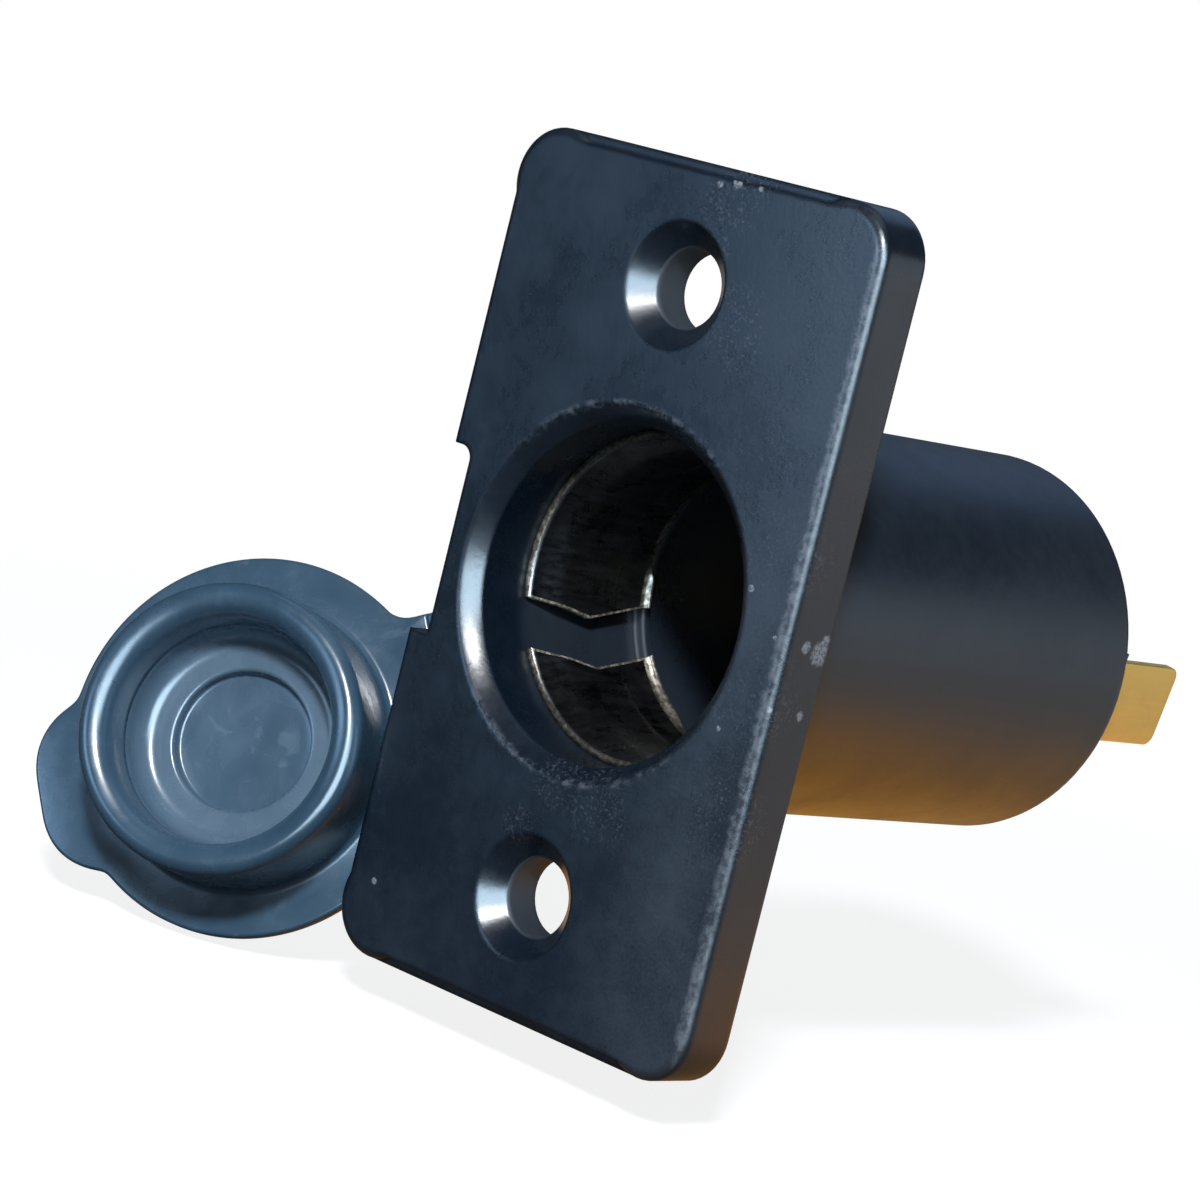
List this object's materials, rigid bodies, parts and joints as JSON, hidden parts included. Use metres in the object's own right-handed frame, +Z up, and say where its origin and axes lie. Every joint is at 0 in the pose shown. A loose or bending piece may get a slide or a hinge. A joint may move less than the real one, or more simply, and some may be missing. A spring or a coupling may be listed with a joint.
{
  "type": "car 12v power socket",
  "caption": "Flush 12 V accessory socket with a screw-on plate, a barrel behind it and a soft cap hanging open on its strap.",
  "frame": {"origin": "on the bore's axis, in the plane of the plate's back, midway between the two screw holes", "axes": "+X to the right across the plate seen from the user's side, +Y along the bore into the panel, +Z up along the plate's long side"},
  "size_m": [0.0616, 0.0641, 0.0631],
  "materials": {
    "socket_plastic": "dark blue-black satin moulding, scuffed",
    "contact_brass": "bright stamped sheet, lightly tarnished",
    "cap_plastic": "soft satin moulding with a bluish sheen, smudged"
  },
  "bodies": {
    "socket": {"socket_body": "socket_plastic", "ground_contact": "contact_brass", "centre_contact": "contact_brass", "contact_rivet": "contact_brass", "positive_blade": "contact_brass"},
    "strap": {"strap_ring": "cap_plastic", "cap_strap": "cap_plastic"},
    "cap": {"cap": "cap_plastic"}
  },
  "joints": [
    {"name": "strap_swivel", "type": "hinge", "parent": "socket", "child": "strap", "pos_m": [0, 0, 0], "axis": [0, 1, 0], "range_deg": [-3, 33]},
    {"name": "cap_fold", "type": "hinge", "parent": "strap", "child": "cap", "pos_m": [-0.01484, 0.00036, -0.00956], "axis": [-0.5417, 0, 0.8406], "range_deg": [-10, 152], "deforming": ["cap_strap"]}
  ],
  "couplings": [
    {"joint": "strap_swivel", "follows": "cap_fold", "ratio": 0.21579}
  ]
}
